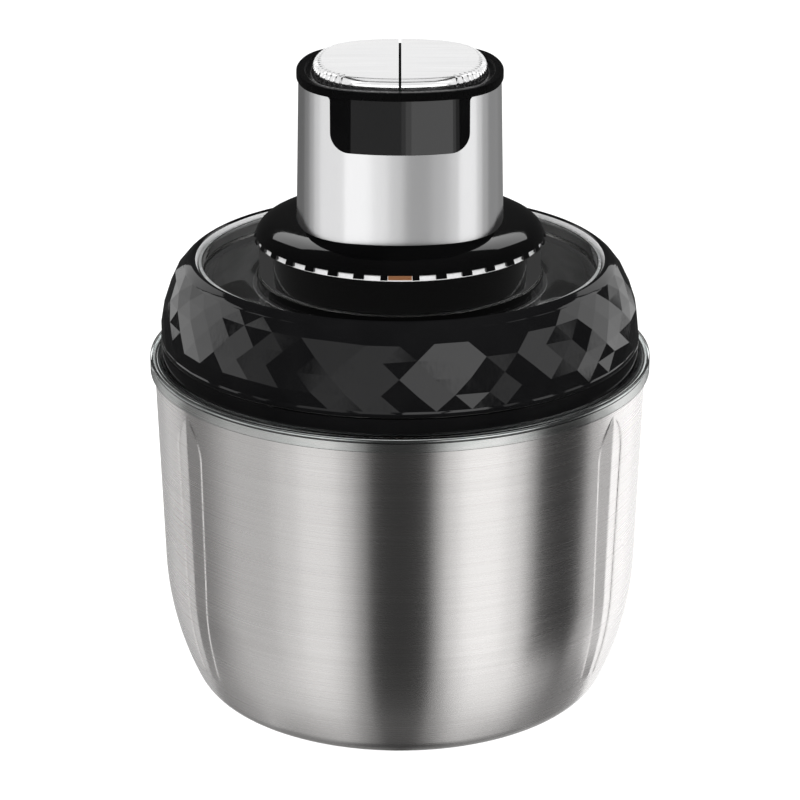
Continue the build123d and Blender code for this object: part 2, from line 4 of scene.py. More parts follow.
import bmesh
import bpy
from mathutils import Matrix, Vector


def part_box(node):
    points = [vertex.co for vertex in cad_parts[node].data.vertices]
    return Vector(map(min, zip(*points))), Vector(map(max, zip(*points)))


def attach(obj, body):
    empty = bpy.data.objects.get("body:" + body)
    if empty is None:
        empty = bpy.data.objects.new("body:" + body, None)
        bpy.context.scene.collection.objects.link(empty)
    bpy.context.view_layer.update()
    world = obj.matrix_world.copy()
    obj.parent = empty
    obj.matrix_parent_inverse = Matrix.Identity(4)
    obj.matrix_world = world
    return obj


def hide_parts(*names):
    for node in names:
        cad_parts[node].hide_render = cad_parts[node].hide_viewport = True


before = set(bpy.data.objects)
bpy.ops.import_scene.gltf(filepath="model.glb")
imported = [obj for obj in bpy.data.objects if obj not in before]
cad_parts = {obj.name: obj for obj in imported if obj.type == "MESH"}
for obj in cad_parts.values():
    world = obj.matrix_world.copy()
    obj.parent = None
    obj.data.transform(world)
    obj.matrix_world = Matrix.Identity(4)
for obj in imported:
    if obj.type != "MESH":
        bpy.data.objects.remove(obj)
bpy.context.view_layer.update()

# Looks of the ice cream maker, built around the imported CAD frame. Lengths are in metres.
# The front faces -Y. Outlines follow the CAD part's own construction, sized from the frame.

MM = 0.001

shell_low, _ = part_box("outer_shell")
liner_low, liner_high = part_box("inner_liner")
_, lid_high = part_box("clear_lid")
dome_low, dome_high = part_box("faceted_collar")
band_low, band_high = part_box("collar_band")
case_low, case_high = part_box("gearbox_case")
skirt_low, skirt_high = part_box("vent_skirt")
sleeve_low, sleeve_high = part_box("steel_sleeve")
window_low, window_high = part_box("window_panel")
bezel_low, bezel_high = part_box("bezel")
cap_low, cap_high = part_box("right_cap")
gland_low, gland_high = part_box("cord_gland")


# Outlines

def arc(centre, radius, first, last, count):
    """Points on a circle, angles in degrees."""
    turns = [math.radians(first + (last - first) * i / count) for i in range(count + 1)]
    return [(centre[0] + radius * math.cos(turn), centre[1] + radius * math.sin(turn)) for turn in turns]


def rounded(points, radius, steps=4):
    """A closed outline with each corner turned into a small arc."""
    result = []
    count = len(points)
    for i in range(count):
        before, here, after = (Vector(points[(i + k) % count][:2]) for k in (-1, 0, 1))
        r = points[i][2] if len(points[i]) > 2 else radius
        a, b = (before - here), (after - here)
        turn = math.pi - a.angle(b)
        if r <= 0 or turn < 0.05:
            result.append(tuple(here))
            continue
        reach = min(r * math.tan(turn / 2), 0.45 * a.length, 0.45 * b.length)
        start, end = here + a.normalized() * reach, here + b.normalized() * reach
        for k in range(steps + 1):
            t = k / steps
            point = start * (1 - t) ** 2 + here * (2 * t * (1 - t)) + end * t ** 2
            result.append(tuple(point))
    return result


class Squircle:
    """The head's soft square: side arcs and corner arcs, found by the direction that the edge faces."""

    bulge = 1.594
    corner = 0.68

    def __init__(self, half):
        self.side_r = self.bulge * half
        self.corner_r = self.corner * half
        self.shift = self.side_r - half
        gap = self.side_r - self.corner_r
        self.centre = (math.sqrt(2 * gap ** 2 - self.shift ** 2) - self.shift) / 2
        self.join = math.atan2(self.centre, self.centre + self.shift)

    def point(self, facing, inset=0.0):
        quarter = round(facing / (math.pi / 2))
        local = facing - quarter * math.pi / 2
        if abs(local) <= self.join:
            x = -self.shift + (self.side_r - inset) * math.cos(local)
            y = (self.side_r - inset) * math.sin(local)
        else:
            side = math.copysign(1, local)
            x = self.centre + (self.corner_r - inset) * math.cos(local)
            y = side * self.centre + (self.corner_r - inset) * math.sin(local)
        c, s = math.cos(quarter * math.pi / 2), math.sin(quarter * math.pi / 2)
        return x * c - y * s, x * s + y * c


# Mesh helpers

def add_object(name, data):
    item = bpy.data.objects.new(name, data)
    bpy.context.scene.collection.objects.link(item)
    return item


def new_object(name, verts, faces, sharp_angle=35):
    mesh = bpy.data.meshes.new(name)
    mesh.from_pydata(verts, [], faces)
    mesh.validate()
    piece = add_object(name, mesh)
    tidy_mesh(piece, sharp_angle)
    return piece


def set_mesh(piece, bm, sharp_angle):
    """Puts an edited mesh back into its piece, smooth but for the sharp edges."""
    bm.to_mesh(piece.data)
    bm.free()
    piece.data.shade_smooth()
    piece.data.set_sharp_from_angle(angle=math.radians(sharp_angle))


def tidy_mesh(piece, sharp_angle):
    """Merges doubles, turns the faces outwards and marks the sharp edges."""
    bm = bmesh.new()
    bm.from_mesh(piece.data)
    bmesh.ops.remove_doubles(bm, verts=bm.verts, dist=2e-6)
    bmesh.ops.dissolve_degenerate(bm, edges=bm.edges, dist=1e-7)
    bmesh.ops.recalc_face_normals(bm, faces=bm.faces)
    set_mesh(piece, bm, sharp_angle)


def finish_piece(piece, body, nodes, material):
    """Dresses a piece, ties it to its CAD body and lets it stand for its CAD nodes."""
    piece.data.materials.clear()
    for each in material if isinstance(material, list) else [material]:
        piece.data.materials.append(each)
    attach(piece, body)
    if nodes:
        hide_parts(*nodes)
    return piece


def join_rings(faces, a, b):
    """Joins two rings that have the same number of points."""
    count = len(a)
    for k in range(count):
        faces.append((a[k], a[(k + 1) % count], b[(k + 1) % count], b[k]))


def grid_faces(rows, columns, closed=False):
    """Faces over rings that follow one another. A closed grid joins its last ring to its first."""
    faces = []
    for i in range(rows if closed else rows - 1):
        here, after = i * columns, (i + 1) % rows * columns
        join_rings(faces, range(here, here + columns), range(after, after + columns))
    return faces


def even_turns(count):
    return [2 * math.pi * k / count for k in range(count)]


def ring(r, z, turns):
    """Points at one radius and height, in the given directions."""
    return [(r * math.cos(turn), r * math.sin(turn), z) for turn in turns]


def lathe(name, outline, segments=256, closed=True, sharp_angle=35):
    """Turns a (radius, height) outline about the Z axis."""
    turns = even_turns(segments)
    verts = [point for r, z in outline for point in ring(r, z, turns)]
    return new_object(name, verts, grid_faces(len(outline), segments, closed), sharp_angle)


def squircle_ring(name, outline, half_at, segments=256):
    """Carries a closed (inset, height) outline round the soft square."""
    verts = []
    for inset, z in outline:
        shape = Squircle(half_at(z))
        verts += [(*shape.point(turn, inset), z) for turn in even_turns(segments)]
    return new_object(name, verts, grid_faces(len(outline), segments, True))


def boolean(piece, cutter, operation="DIFFERENCE", sharp_angle=30):
    """Cuts or intersects a piece with another, and throws the other away."""
    modifier = piece.modifiers.new("cut", "BOOLEAN")
    modifier.object = cutter
    modifier.operation = operation
    modifier.solver = "EXACT"
    bpy.context.view_layer.update()
    graph = bpy.context.evaluated_depsgraph_get()
    mesh = bpy.data.meshes.new_from_object(piece.evaluated_get(graph))
    piece.modifiers.clear()
    piece.data = mesh
    bpy.data.objects.remove(cutter)
    tidy_mesh(piece, sharp_angle)
    return piece


def prism(name, outline, start, end, place):
    """A straight prism of a closed outline; place turns (u, v, depth) into a point."""
    count = len(outline)
    verts = [place(u, v, d) for d in (start, end) for u, v in outline]
    faces = [(i, (i + 1) % count, count + (i + 1) % count, count + i) for i in range(count)]
    faces += [tuple(range(count)), tuple(range(count, 2 * count))]
    return new_object(name, verts, faces)


# Materials

def set_inputs(node, values):
    for key, value in values.items():
        node.inputs[key].default_value = value


def even(value):
    """The same number three times, for a grey or for noise that is alike along all axes."""
    return value, value, value


class Shader:
    """A Principled material under construction, with the few nodes that the finishes share."""

    def __init__(self, name, color, metallic, roughness, **sockets):
        self.material = bpy.data.materials.new(name)
        self.material.use_nodes = True
        self.nodes = self.material.node_tree.nodes
        self.links = self.material.node_tree.links
        self.bsdf = self.nodes["Principled BSDF"]
        set_inputs(self.bsdf, {"Base Color": (*color, 1.0), "Metallic": metallic, "Roughness": roughness})
        set_inputs(self.bsdf, {key.replace("_", " "): value for key, value in sockets.items()})
        self.coords = self.nodes.new("ShaderNodeTexCoord")

    def noise(self, stretch, detail=4.0):
        """Noise over object space, stretched along the axes that have a small number."""
        mapping = self.nodes.new("ShaderNodeMapping")
        set_inputs(mapping, {"Scale": stretch})
        texture = self.nodes.new("ShaderNodeTexNoise")
        set_inputs(texture, {"Scale": 1.0, "Detail": detail, "Roughness": 0.55})
        self.links.new(self.coords.outputs["Object"], mapping.inputs["Vector"])
        self.links.new(mapping.outputs["Vector"], texture.inputs["Vector"])
        return texture.outputs["Fac"]

    def wave(self, scale, distortion=0.0, detail_scale=1.0):
        """Even bands, one above the other."""
        texture = self.nodes.new("ShaderNodeTexWave")
        texture.wave_type = "BANDS"
        texture.bands_direction = "Z"
        set_inputs(texture, {"Scale": scale, "Distortion": distortion, "Detail Scale": detail_scale})
        self.links.new(self.coords.outputs["Object"], texture.inputs["Vector"])
        return texture.outputs["Fac"]

    def spread(self, factor, low, high):
        """Maps 0.3 to 0.7 of a factor, where noise lives, to low and high."""
        node = self.nodes.new("ShaderNodeMapRange")
        set_inputs(node, {"From Min": 0.3, "From Max": 0.7, "To Min": low, "To Max": high})
        self.links.new(factor, node.inputs["Value"])
        return node.outputs["Result"]

    def vary_roughness(self, factor, low, high):
        self.links.new(self.spread(factor, low, high), self.bsdf.inputs["Roughness"])
        return self

    def vary_color(self, factor, dark, light):
        node = self.nodes.new("ShaderNodeMix")
        node.data_type = "RGBA"
        node.inputs["A"].default_value = (*dark, 1.0)
        node.inputs["B"].default_value = (*light, 1.0)
        self.links.new(self.spread(factor, 0.0, 1.0), node.inputs["Factor"])
        self.links.new(node.outputs["Result"], self.bsdf.inputs["Base Color"])
        return self

    def bump(self, factor, strength, distance):
        node = self.nodes.new("ShaderNodeBump")
        set_inputs(node, {"Strength": strength, "Distance": distance})
        self.links.new(factor, node.inputs["Height"])
        self.links.new(node.outputs["Normal"], self.bsdf.inputs["Normal"])
        return self

    def vary(self, factor, roughness, colors, bump):
        """Drives roughness (low, high), colour (dark, light) and bump (strength, distance) by one texture."""
        return self.vary_roughness(factor, *roughness).vary_color(factor, *colors).bump(factor, *bump)

    def radial_tangent(self):
        node = self.nodes.new("ShaderNodeTangent")
        node.direction_type = "RADIAL"
        node.axis = "Z"
        self.links.new(node.outputs["Tangent"], self.bsdf.inputs["Tangent"])
        return self


def brushed_bowl_steel():
    """Satin steel spun on a lathe: fine grooves that run round the bowl."""
    steel = Shader("bowl_steel", (0.66, 0.645, 0.635), 1.0, 0.26, Anisotropic=0.75, Anisotropic_Rotation=0.25)
    grooves = steel.noise((9, 9, 4200), detail=5)
    streaks = steel.noise((5, 5, 700), detail=3)
    steel.vary_roughness(grooves, 0.22, 0.29)
    steel.vary_color(streaks, (0.65, 0.635, 0.625), (0.685, 0.67, 0.66))
    steel.bump(grooves, 0.02, 0.00006)
    return steel.radial_tangent().material


def liner_steel():
    steel = Shader("liner_steel", (0.74, 0.74, 0.735), 1.0, 0.2, Anisotropic=0.5, Anisotropic_Rotation=0.25)
    grooves = steel.noise((10, 10, 3800), detail=4)
    steel.vary(grooves, (0.14, 0.26), ((0.68, 0.68, 0.675), (0.78, 0.78, 0.775)), (0.1, 0.0001))
    return steel.radial_tangent().material


def sleeve_steel():
    """Bright steel with a fine upright grain."""
    steel = Shader("sleeve_steel", (0.74, 0.74, 0.745), 1.0, 0.2)
    grain = steel.noise((5200, 5200, 30), detail=4)
    haze = steel.noise((40, 40, 12), detail=2)
    steel.vary_roughness(haze, 0.17, 0.23).vary_color(grain, (0.72, 0.72, 0.725), (0.76, 0.76, 0.765))
    steel.bump(grain, 0.03, 0.00005)
    return steel.material


def cap_chrome():
    """Bright plated key tops with fine lines drawn from left to right."""
    chrome = Shader("cap_chrome", (0.86, 0.86, 0.87), 1.0, 0.14)
    lines = chrome.noise((26, 1500, 1500), detail=4)
    return chrome.vary(lines, (0.08, 0.2), ((0.74, 0.74, 0.745), even(0.92)), (0.06, 0.00006)).material


def gloss_black(name, roughness=0.05, ripple=0.02):
    """Moulded black plastic: mirror gloss with faint flow marks and hairline scuffs."""
    black = Shader(name, (0.0025, 0.0025, 0.0027), 0.0, roughness, IOR=1.5)
    scuffs = black.noise((900, 900, 240), detail=6)
    flow = black.noise(even(34), detail=2)
    black.vary_roughness(scuffs, roughness * 0.6, roughness * 1.8)
    black.vary_color(flow, (0.0018, 0.0018, 0.002), (0.0035, 0.0035, 0.0037))
    black.bump(flow, ripple, 0.0004)
    return black.material


def matte_plastic(name, dark, light, roughness=0.5, grain=1500):
    """Moulded plastic with a fine spark-eroded grain."""
    plastic = Shader(name, light, 0.0, roughness)
    texture = plastic.noise(even(grain), detail=3)
    cloud = plastic.noise(even(40), detail=2)
    plastic.vary_roughness(texture, roughness - 0.08, roughness + 0.1).vary_color(cloud, dark, light)
    plastic.bump(texture, 0.2, 0.00008)
    return plastic.material


def clear_plastic():
    clear = Shader("clear_plastic", (0.96, 0.965, 0.965), 0.0, 0.02, IOR=1.49, Transmission_Weight=1.0)
    flow = clear.noise(even(60), detail=2)
    tones = ((0.945, 0.95, 0.95), (0.98, 0.985, 0.985))
    return clear.vary(flow, (0.005, 0.03), tones, (0.02, 0.0004)).material


def clear_edge():
    """The top edge of the lid's lip, which gathers light and looks milky."""
    edge = Shader("clear_edge", (0.93, 0.95, 0.95), 0.0, 0.22, IOR=1.49, Transmission_Weight=0.35)
    flow = edge.noise(even(220), detail=3)
    return edge.vary(flow, (0.16, 0.34), ((0.86, 0.89, 0.89), (0.97, 0.98, 0.98)), (0.05, 0.0002)).material


def rim_glass():
    """The thick hook of the lid, with a faint green tint."""
    glass = Shader("rim_glass", (0.88, 0.92, 0.91), 0.0, 0.03, IOR=1.3, Transmission_Weight=1.0)
    flow = glass.noise((80, 80, 500), detail=3)
    return glass.vary(flow, (0.01, 0.06), ((0.80, 0.85, 0.84), (0.94, 0.96, 0.96)), (0.01, 0.0002)).material


# painted reflection: a grey that stands in for the bright studio mirrored in the collar's black inner wall
def collar_lining():
    """Inside of the collar, seen through the clear lid: satin grey with moulding marks. The grey is painted
    reflection: the black plastic wall is lightened to show the bright studio mirrored in it.
    """
    reflection_grey = Shader("collar_lining", even(0.45), 0.0, 0.45)
    cloud = reflection_grey.noise((26, 26, 60), detail=3)
    return reflection_grey.vary(cloud, (0.38, 0.55), (even(0.30), even(0.62)), (0.1, 0.0005)).material


# painted glow: a milky white that stands in for light gathered in the clear neck's edge
def milky_bead():
    milky = Shader("milky_bead", even(0.93), 0.0, 0.3)
    flow = milky.noise(even(300), detail=3)
    return milky.vary(flow, (0.22, 0.4), (even(0.88), even(0.96)), (0.05, 0.0002)).material


def copper_leaf():
    copper = Shader("contact_copper", (0.60, 0.27, 0.12), 1.0, 0.32)
    rolled = copper.noise((60, 2400, 2400), detail=4)
    tones = ((0.48, 0.20, 0.09), (0.68, 0.33, 0.16))
    return copper.vary(rolled, (0.24, 0.42), tones, (0.1, 0.00006)).material


def wound_copper(name):
    """Enamelled wire wound in even turns."""
    wire = Shader(name, (0.70, 0.30, 0.13), 1.0, 0.3)
    turns = wire.wave(420.0, 0.6, 3.0)
    cloud = wire.noise(even(300), detail=3)
    wire.vary_color(cloud, (0.56, 0.22, 0.09), (0.78, 0.37, 0.17)).vary_roughness(cloud, 0.22, 0.4)
    wire.bump(turns, 0.8, 0.0003)
    return wire.material


def turned_metal(name, dark, light, roughness=0.3):
    """Turned or ground metal with marks that run round its own axis."""
    metal = Shader(name, light, 1.0, roughness)
    marks = metal.noise((60, 60, 3200), detail=4)
    return metal.vary(marks, (roughness - 0.08, roughness + 0.1), (dark, light), (0.12, 0.00006)).material


def cast_metal(name, dark, light):
    metal = Shader(name, light, 1.0, 0.45)
    skin = metal.noise(even(900), detail=5)
    return metal.vary(skin, (0.36, 0.6), (dark, light), (0.35, 0.00015)).material


def laminated_iron():
    iron = Shader("laminations", (0.30, 0.30, 0.31), 1.0, 0.42)
    sheets = iron.wave(320.0)
    stain = iron.noise((260, 260, 1200), detail=4)
    iron.vary_color(stain, (0.20, 0.20, 0.21), (0.38, 0.38, 0.39)).vary_roughness(stain, 0.34, 0.55)
    iron.bump(sheets, 0.7, 0.0002)
    return iron.material


def soft_rubber(name, dark, light):
    rubber = Shader(name, light, 0.0, 0.68)
    skin = rubber.noise(even(1400), detail=4)
    return rubber.vary(skin, (0.58, 0.8), (dark, light), (0.25, 0.0001)).material


def circuit_board():
    board = Shader("circuit_board", (0.03, 0.16, 0.07), 0.0, 0.35)
    tracks = board.noise((260, 700, 50), detail=1)
    return board.vary(tracks, (0.28, 0.45), ((0.02, 0.11, 0.05), (0.05, 0.22, 0.10)), (0.4, 0.0002)).material


def coolant_gel():
    gel = Shader("coolant_gel", (0.30, 0.58, 0.80), 0.0, 0.35)
    cloud = gel.noise(even(70), detail=4)
    return gel.vary(cloud, (0.28, 0.5), ((0.22, 0.50, 0.74), (0.42, 0.68, 0.88)), (0.2, 0.0004)).material


# Bowl

# A leaf panel, from its apex down to its tip: (height, half-width) in millimetres
leaf_outline = ((134.0, 0.0), (117.0, 9.1), (63.0, 7.8), (31.0, 6.6), (19.0, 5.4))
leaf_angles = (-33.0, 90.0, 213.0)
leaf_rise = 0.4 * MM
leaf_slope = math.tan(math.radians(6.5))
leaf_border = 0.6 * MM
leaf_least_half = 0.1 * MM
leaf_edge = 0.9 * MM
leaf_run_out = 4.0 * MM
leaf_bead = 0.3 * MM
leaf_apex, leaf_tip = leaf_outline[0][0] * MM, leaf_outline[-1][0] * MM
wall_slope = math.radians(1.75)
shell_top = 139.6 * MM
belly_end = 24.5
belly_r = 125.0 * MM
base_corner_r = 13.0 * MM
base_flat_r = 72.8 * MM
base_recess_r = 68.0 * MM
base_recess = 2.3 * MM
base_chamfer = 0.4 * MM
shell_wall = 0.8 * MM
shell_lip = 4 * MM


def bowl_curve():
    """Outside of the shell from its top edge down to the base, as (radius, height)."""
    corner = (base_flat_r, shell_low[2] + base_corner_r)
    lever = base_corner_r - belly_r
    angle = math.radians(belly_end)
    belly = (corner[0] + lever * math.cos(angle), corner[1] - lever * math.sin(angle))
    curve = arc(belly, belly_r, -math.degrees(wall_slope), -belly_end, 70)
    joint = curve[0]
    top_r = joint[0] + (shell_top - joint[1]) * math.tan(wall_slope)
    shares = [i / 110 for i in range(110)]
    straight = [(top_r + (joint[0] - top_r) * t, shell_top + (joint[1] - shell_top) * t) for t in shares]
    return straight + curve + arc(corner, base_corner_r, -belly_end, -90, 16)[1:]


def leaf_half_width(z):
    """Half-width of a leaf panel at a height: straight between its points, but round below the apex."""
    knots = [(height * MM, half * MM) for height, half in leaf_outline]
    if not knots[-1][0] < z < knots[0][0]:
        return 0.0
    i = next(k for k in range(len(knots) - 1) if knots[k + 1][0] <= z <= knots[k][0])
    (z0, w0), (z1, w1) = knots[i], knots[i + 1]
    t = (z0 - z) / (z0 - z1)
    if i == 0:
        return w1 * (1 - (1 - t) ** 2)
    return w0 + (w1 - w0) * t


def leaf_share(z):
    """1 along a panel, falling to 0 at its two ends."""
    return max(0.0, min(1.0, (z - leaf_tip) / leaf_run_out, (leaf_apex - z) / leaf_run_out))


def leaf_radius(wall, z, angle):
    """Radius of a panel's roof-shaped face, at an angle from its crest. It runs out softly at both ends."""
    face = (wall + leaf_rise) / (math.cos(angle) + leaf_slope * abs(math.sin(angle)))
    return wall + (face - wall) * leaf_share(z)


def bowl_levels():
    """The outside curve, with extra points where the panels begin and end, from the top down."""
    curve = bowl_curve()
    points = list(curve)
    extra = [leaf_tip - 0.2 * MM, leaf_tip + 0.25 * MM] + [leaf_apex - k * 0.22 * MM for k in range(-1, 12)]
    for z in extra:
        for a, b in zip(curve, curve[1:]):
            if b[1] < z < a[1]:
                t = (a[1] - z) / (a[1] - b[1])
                points.append((a[0] + (b[0] - a[0]) * t, z))
    return sorted(points, key=lambda p: (-p[1], p[0]))


def bowl_row(r, z):
    """One level of the shell as (direction, radius): beaded borders, panels, and plain wall between them."""
    leaf_turns = sorted(math.radians(a) % (2 * math.pi) for a in leaf_angles)
    plain_steps = 56
    half = leaf_half_width(z)
    spread = max(half - leaf_border, leaf_least_half) / r
    edge = leaf_edge / r
    bead = r + (leaf_bead * leaf_share(z) if half else 0.0)
    border = [(1.4 * edge, r), (edge, r), (0.5 * edge, bead)]
    row = []
    for i, here in enumerate(leaf_turns):
        following = leaf_turns[i + 1] if i + 1 < len(leaf_turns) else leaf_turns[0] + 2 * math.pi
        row += [(here - spread - reach, radius) for reach, radius in border]
        for s in (k / 10 for k in range(-10, 11)):
            row.append((here + s * spread, leaf_radius(r, z, s * spread) if half else r))
        row += [(here + spread + reach, radius) for reach, radius in reversed(border)]
        start, end = here + spread + 1.4 * edge, following - spread - 1.4 * edge
        row += [(start + (end - start) * k / plain_steps, r) for k in range(1, plain_steps)]
    return row


def add_rings(verts, faces, turns, start, rings):
    """Carries a surface on, from the ring of points that begins at start, through (radius, height) rings."""
    columns = len(turns)
    for r, z in rings:
        first = len(verts)
        verts += ring(r, z, turns)
        join_rings(faces, range(start, start + columns), range(first, first + columns))
        start = first


def make_bowl_shell(material):
    levels = bowl_levels()
    verts = []
    for r, z in levels:
        row = bowl_row(r, z)
        verts += [(radius * math.cos(turn), radius * math.sin(turn), z) for turn, radius in row]
    turns = [turn for turn, _ in row]
    columns = len(turns)
    faces = grid_faces(len(levels), columns)
    base_z, recess_z = levels[-1][1], shell_low[2] + base_recess
    recess = [(base_recess_r + base_chamfer, base_z), (base_recess_r, base_z + base_chamfer)]
    add_rings(verts, faces, turns, len(verts) - columns, recess + [(base_recess_r, recess_z)])
    faces.append(tuple(range(len(verts) - columns, len(verts))))
    top_r, top_z = levels[0]
    lip_r = top_r - shell_lip * math.tan(wall_slope)
    add_rings(verts, faces, turns, 0, [(top_r - shell_wall, top_z), (lip_r - shell_wall, top_z - shell_lip)])
    bowl = new_object("bowl_shell", verts, faces, 14)
    return finish_piece(bowl, "bowl", ["outer_shell"], material)


def make_liner(material):
    """Liner with its rolled rim, the ledge for the gasket and the soft corner at the floor."""
    wall = shell_wall
    floor, floor_r = liner_low[2], 62 * MM
    corner, corner_r = (60.6 * MM, floor + 23.6 * MM), 23.6 * MM
    bend_z, bend_r = 118 * MM, 87.9 * MM
    ledge_z, ledge_r, neck_r = 137.0 * MM, 92.3 * MM, 97.5 * MM
    neck_in_r = neck_r - 0.75 * wall
    bead_r, bead = 97.7 * MM, 0.9 * MM
    outside = [(0.0, floor), (floor_r, floor)] + arc(corner, corner_r, -84, -4, 20)
    outside += [(bend_r, bend_z), (ledge_r, ledge_z - 0.6 * MM), (ledge_r + 0.6 * MM, ledge_z)]
    outside += [(neck_r - 0.4 * MM, ledge_z), (neck_r, ledge_z + 0.4 * MM)]
    rim = arc((bead_r, liner_high[2] - bead), bead, -110, 130, 24)
    inside = [(neck_in_r, liner_high[2] - 1.4 * MM), (neck_in_r, ledge_z + wall + 0.3 * MM)]
    inside += [(neck_in_r - 0.3 * MM, ledge_z + wall), (ledge_r, ledge_z + wall)]
    inside += [(ledge_r - wall, ledge_z + wall - 0.7 * MM), (bend_r - wall, bend_z)]
    inside += arc(corner, corner_r - wall, -4, -84, 20) + [(floor_r, floor + wall), (0.0, floor + wall)]
    liner = lathe("liner_with_rim", outside + rim + inside, 256, closed=False)
    return finish_piece(liner, "bowl", ["inner_liner"], material)


# Lid

bead_height = 2.2 * MM


def make_lid(materials):
    """Clear lid: hook over the rim, trough, wall under the collar, recessed top and deep socket."""
    rim_r, rim_top, rim_low = lid_high[0], 142.6 * MM, 136.6 * MM
    hook_wall, hook_r, hook_back_r = 0.9 * MM, 95.5 * MM, 96.4 * MM
    trough, trough_wall, trough_r, foot_r = 138.9 * MM, 1.0 * MM, 91.6 * MM, 90 * MM
    plate, lip_top, lip_r, lip_wall = 175.4 * MM, 180.6 * MM, 79.8 * MM, 1.4 * MM
    neck_r, neck_top = 55.8 * MM, lid_high[2] - bead_height
    socket_z, socket_r, hole_r = 152.0 * MM, 55.2 * MM, 9 * MM
    wall = 1.6 * MM
    outline = [
        (rim_r - hook_wall, rim_low), (rim_r, rim_low), (rim_r, rim_top), (hook_r, rim_top),
        (hook_r, trough + trough_wall), (trough_r, trough + trough_wall, 1.5 * MM),
        (lip_r, plate - 2 * MM, 3 * MM), (lip_r, lip_top), (lip_r - lip_wall, lip_top),
        (lip_r - lip_wall, plate, 1.2 * MM), (neck_r, plate, 1.5 * MM), (neck_r, neck_top),
        (neck_r - wall, neck_top), (socket_r - wall, socket_z + wall, 3 * MM), (hole_r, socket_z + wall),
        (hole_r, socket_z), (socket_r, socket_z, 4 * MM), (neck_r - 0.5 * MM, plate - wall, 1 * MM),
        (lip_r - 2.2 * MM, plate - wall, 1.5 * MM), (foot_r, trough), (hook_back_r, trough),
        (hook_back_r, rim_top - 0.8 * MM), (rim_r - hook_wall, rim_top - 0.8 * MM),
    ]
    lid = lathe("clear_lid_shell", rounded(outline, 0.3 * MM), 288)
    finish_piece(lid, "lid", ["clear_lid"], materials)
    for face in lid.data.polygons:
        r = math.hypot(face.center[0], face.center[1])
        if lip_r - 0.8 * MM < r < foot_r and lip_top - 0.4 * MM < face.center[2]:
            face.material_index = 1
        elif r > hook_r - 0.5 * MM and face.center[2] < rim_top + 1 * MM:
            face.material_index = 2
    return lid


def make_neck_edge(material):
    """Milky bead on the socket's brim, seen between the castellations of the head's skirt. Its milky white is
    a painted glow, standing in for the light that the clear neck's edge gathers.
    """
    outer, inner = 56.35 * MM, 54.2 * MM
    low, top = lid_high[2] - bead_height, lid_high[2] - 0.15 * MM
    outline = [(outer, low), (outer, top), (inner, top), (inner, low)]
    bead = lathe("lid_neck_bead", rounded(outline, 0.25 * MM), 288)
    return finish_piece(bead, "lid", [], material)


def dome_point(angle, inset=0.0):
    """Section of the collar's dome: angle 0 is at its foot and 90 at its crest."""
    centre_r, crest_z = 78.0 * MM, 183.4 * MM
    foot_z = dome_low[2]
    wide = dome_high[0] - centre_r - inset
    tall = crest_z - foot_z - inset
    turn = math.radians(angle)
    return centre_r + wide * math.cos(turn), foot_z + tall * math.sin(turn)


facet_count = 44
facet_rings = (4.0, 14.0, 25.0, 37.0, 50.0, 63.0)
crest_start, crest_end = 64.2, 76.0
fine_steps = 6


def faceted_side(verts, faces, inset, jitter):
    """Diamond facets between the collar's foot and its smooth crest. Returns the two border rings."""
    rings = []
    rng = random.Random(11)
    for j, angle in enumerate(facet_rings):
        first = len(verts)
        shift = 0.5 * (j % 2)
        for k in range(facet_count):
            wobble = tilt = push = 0.0
            if 0 < j < len(facet_rings) - 1:
                wobble = jitter * rng.uniform(-1, 1) * 60
                tilt = 2.2 * jitter * rng.uniform(-1, 1) / MM
                push = jitter * rng.uniform(-1.0, 0.9)
            r, z = dome_point(angle + tilt, inset)
            verts += ring(r + push, z, [2 * math.pi * (k + shift + wobble) / facet_count])
        rings.append(range(first, len(verts)))
    for j in range(len(rings) - 1):
        low, high = rings[j], rings[j + 1]
        for k in range(facet_count):
            after = (k + 1) % facet_count
            if j % 2 == 0:
                faces.append((low[k], low[after], high[k]))
                faces.append((low[after], high[after], high[k]))
            else:
                faces.append((low[k], high[after], high[k]))
                faces.append((low[k], low[after], high[after]))
    return rings[0], rings[-1]


def fine_ring(verts, r, z):
    start = len(verts)
    verts += ring(r, z, even_turns(facet_count * fine_steps))
    return range(start, len(verts))


def join_facets(faces, coarse, fine, shift):
    """Joins a coarse ring of facet corners to a fine ring beside it."""
    count = len(fine)
    offset = int(shift * fine_steps)
    for k in range(facet_count):
        stretch = [fine[(k * fine_steps + offset + i) % count] for i in range(fine_steps + 1)]
        faces.append((coarse[(k + 1) % facet_count], coarse[k], *stretch))


def paint_inside_reflection(piece, top):
    """Gives the second material to the faces that look inwards, up to a height. There it is the grey of
    painted reflection.
    """
    for face in piece.data.polygons:
        outward = face.center[0] * face.normal[0] + face.center[1] * face.normal[1]
        if outward < 0 and face.center[2] < top:
            face.material_index = 1


